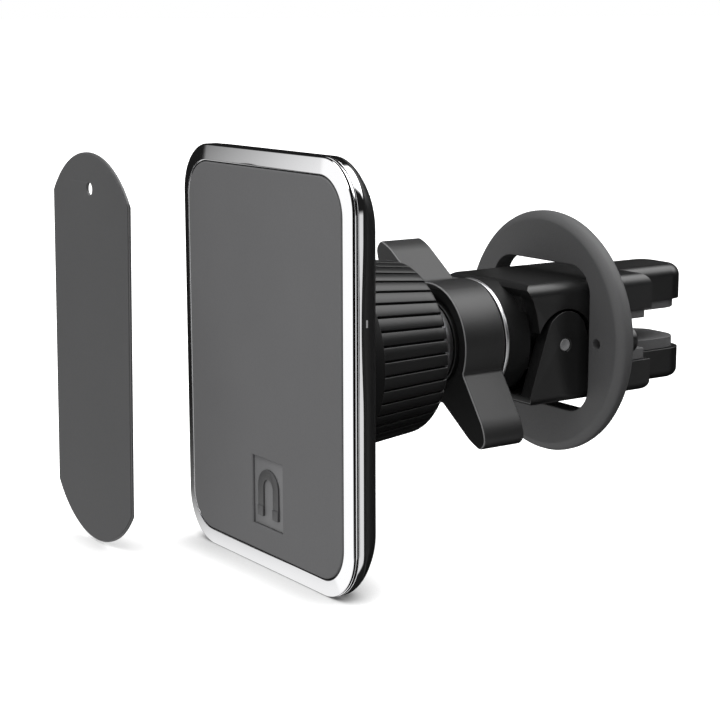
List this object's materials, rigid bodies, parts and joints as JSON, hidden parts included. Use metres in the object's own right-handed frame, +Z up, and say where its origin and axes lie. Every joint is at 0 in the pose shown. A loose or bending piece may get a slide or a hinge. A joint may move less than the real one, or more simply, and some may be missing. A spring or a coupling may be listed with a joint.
{
  "type": "car phone mount",
  "caption": "Magnetic phone mount that clips on an air vent blade, with a ball joint, a lock collar, a wing nut and a steel plate for the phone.",
  "frame": {"origin": "where a vent blade is gripped between the jaw pads, on the axis of the ball stem", "axes": "+Y from the phone face to the jaws, -Y the way the phone face looks, +Z up"},
  "size_m": [0.0695, 0.103, 0.068],
  "materials": {
    "pad_skin": "soft-touch, fine grain",
    "adhesive": "matte film",
    "chrome": "polished",
    "black_plastic": "satin",
    "grey_plastic": "satin",
    "ring_plastic": "fine spark texture",
    "nylon": "satin",
    "rubber": "matte",
    "magnet": "nickel plated",
    "steel": "zinc plated",
    "dark_screw": "black oxide",
    "coated_steel": "matte powder coat"
  },
  "bodies": {
    "clamp_body": {"upper_jaw": "black_plastic", "upper_pad": "rubber", "hinge_pin": "steel", "ball_stem": "steel", "stem_cross_pin": "steel", "nut_clip": "steel", "thrust_washer": "steel", "support_ring": "ring_plastic", "ring_screws": "dark_screw", "jaw_spring": "steel"},
    "pan_liner": {"ball_liner": "nylon"},
    "tilt_ring": {"friction_ring": "rubber"},
    "head": {"face_pad": "pad_skin", "pad_badge": "pad_skin", "pad_adhesive": "adhesive", "chrome_bezel": "chrome", "magnet_tray": "black_plastic", "magnets": "magnet", "yoke_plate": "steel", "rear_shell": "black_plastic", "shell_screws": "dark_screw", "ball_socket": "black_plastic", "socket_screws": "dark_screw"},
    "collar_slip": {"slip_ring": "nylon"},
    "collar": {"collar_nut": "black_plastic", "collar_grip": "black_plastic"},
    "wing": {"wing_nut": "grey_plastic", "drive_screw": "steel"},
    "slider": {"wedge_slider": "black_plastic"},
    "lower_clamp": {"lower_jaw": "black_plastic", "lower_pad": "rubber"},
    "plate": {"phone_plate": "coated_steel", "plate_adhesive": "adhesive"}
  },
  "joints": [
    {"name": "head_pan", "type": "hinge", "parent": "clamp_body", "child": "pan_liner", "pos_m": [0, -0.0595, 0], "axis": [0, 0, 1], "range_deg": [-15, 15]},
    {"name": "head_tilt", "type": "hinge", "parent": "pan_liner", "child": "tilt_ring", "pos_m": [0, -0.0595, 0], "axis": [1, 0, 0], "range_deg": [-15, 15]},
    {"name": "head_spin", "type": "hinge", "parent": "tilt_ring", "child": "head", "pos_m": [0, -0.0595, 0], "axis": [0, 1, 0], "continuous": true},
    {"name": "collar_advance", "type": "slide", "parent": "head", "child": "collar_slip", "axis": [0, 1, 0], "range_m": [0, 0.0009]},
    {"name": "collar_turn", "type": "hinge", "parent": "collar_slip", "child": "collar", "pos_m": [0, -0.0595, 0], "axis": [0, 1, 0], "range_deg": [0, 180]},
    {"name": "wing_turn", "type": "hinge", "parent": "clamp_body", "child": "wing", "pos_m": [0, -0.04, 0], "axis": [0, 1, 0], "range_deg": [-90, 450]},
    {"name": "wedge_slide", "type": "slide", "parent": "clamp_body", "child": "slider", "axis": [0, 1, 0], "range_m": [-0.00032, 0.00162]},
    {"name": "jaw_close", "type": "hinge", "parent": "clamp_body", "child": "lower_clamp", "pos_m": [0, -0.0244, -0.0008], "axis": [1, 0, 0], "range_deg": [-1.6, 8]},
    {"name": "plate_offer", "type": "slide", "parent": "head", "child": "plate", "axis": [0.8957, 0.4442, 0.0183], "range_m": [0, 0.0328]}
  ],
  "couplings": [
    {"joint": "collar_advance", "follows": "collar_turn", "m_per_rad": 0.00028648},
    {"joint": "wedge_slide", "follows": "wing_turn", "m_per_rad": 0.0002069},
    {"joint": "jaw_close", "follows": "wing_turn", "ratio": 0.017778}
  ]
}
